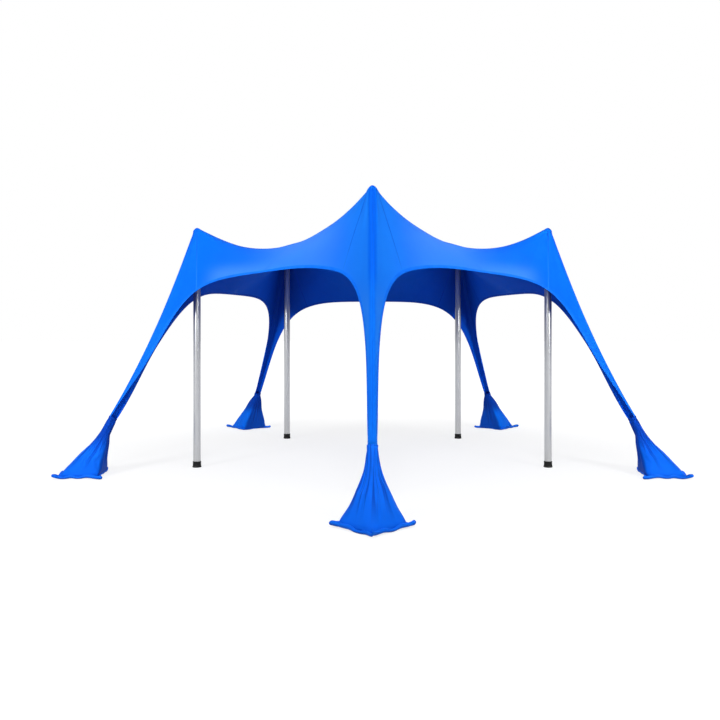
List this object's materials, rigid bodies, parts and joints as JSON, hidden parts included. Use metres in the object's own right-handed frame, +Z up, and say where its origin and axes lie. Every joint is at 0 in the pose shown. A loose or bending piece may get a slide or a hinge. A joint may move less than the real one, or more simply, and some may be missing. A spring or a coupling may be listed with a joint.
{
  "type": "beach sun shelter",
  "caption": "Peaked stretch-fabric sun shelter on upright poles, with arched open sides and fabric legs drawn down to sandbags.",
  "frame": {"origin": "centre of the bounding box, on the ground", "axes": "+X to the shelter's right, +Y to its back, +Z up; the tall front peak is toward -Y"},
  "size_m": [5.2164, 5.35, 2.2614],
  "materials": {
    "roof_fabric": "matt stretch knit",
    "leg_fabric": "matt stretch knit",
    "pocket_fabric": "matt stretch knit, doubled",
    "bag_fabric": "matt stretch knit",
    "base_fabric": "matt woven fabric",
    "satin_aluminium": "satin",
    "black_rubber": "matt",
    "black_plastic": "matt"
  },
  "bodies": {
    "root": {"leg_panel_front": "leg_fabric", "roof_panel_front_to_right": "roof_fabric", "peak_pocket_front": "pocket_fabric", "pole_front": "satin_aluminium", "pole_foot_front": "black_rubber", "pole_cap_front": "black_plastic", "sandbag_front": "bag_fabric", "bag_base_front": "base_fabric", "leg_panel_right": "leg_fabric", "roof_panel_right_to_back_right": "roof_fabric", "peak_pocket_right": "pocket_fabric", "pole_right": "satin_aluminium", "pole_foot_right": "black_rubber", "pole_cap_right": "black_plastic", "sandbag_right": "bag_fabric", "bag_base_right": "base_fabric", "leg_panel_back_right": "leg_fabric", "roof_panel_back_right_to_back_left": "roof_fabric", "peak_pocket_back_right": "pocket_fabric", "pole_back_right": "satin_aluminium", "pole_foot_back_right": "black_rubber", "pole_cap_back_right": "black_plastic", "sandbag_back_right": "bag_fabric", "bag_base_back_right": "base_fabric", "leg_panel_back_left": "leg_fabric", "roof_panel_back_left_to_left": "roof_fabric", "peak_pocket_back_left": "pocket_fabric", "pole_back_left": "satin_aluminium", "pole_foot_back_left": "black_rubber", "pole_cap_back_left": "black_plastic", "sandbag_back_left": "bag_fabric", "bag_base_back_left": "base_fabric", "leg_panel_left": "leg_fabric", "roof_panel_left_to_front": "roof_fabric", "peak_pocket_left": "pocket_fabric", "pole_left": "satin_aluminium", "pole_foot_left": "black_rubber", "pole_cap_left": "black_plastic", "sandbag_left": "bag_fabric", "bag_base_left": "base_fabric"}
  },
  "joints": []
}
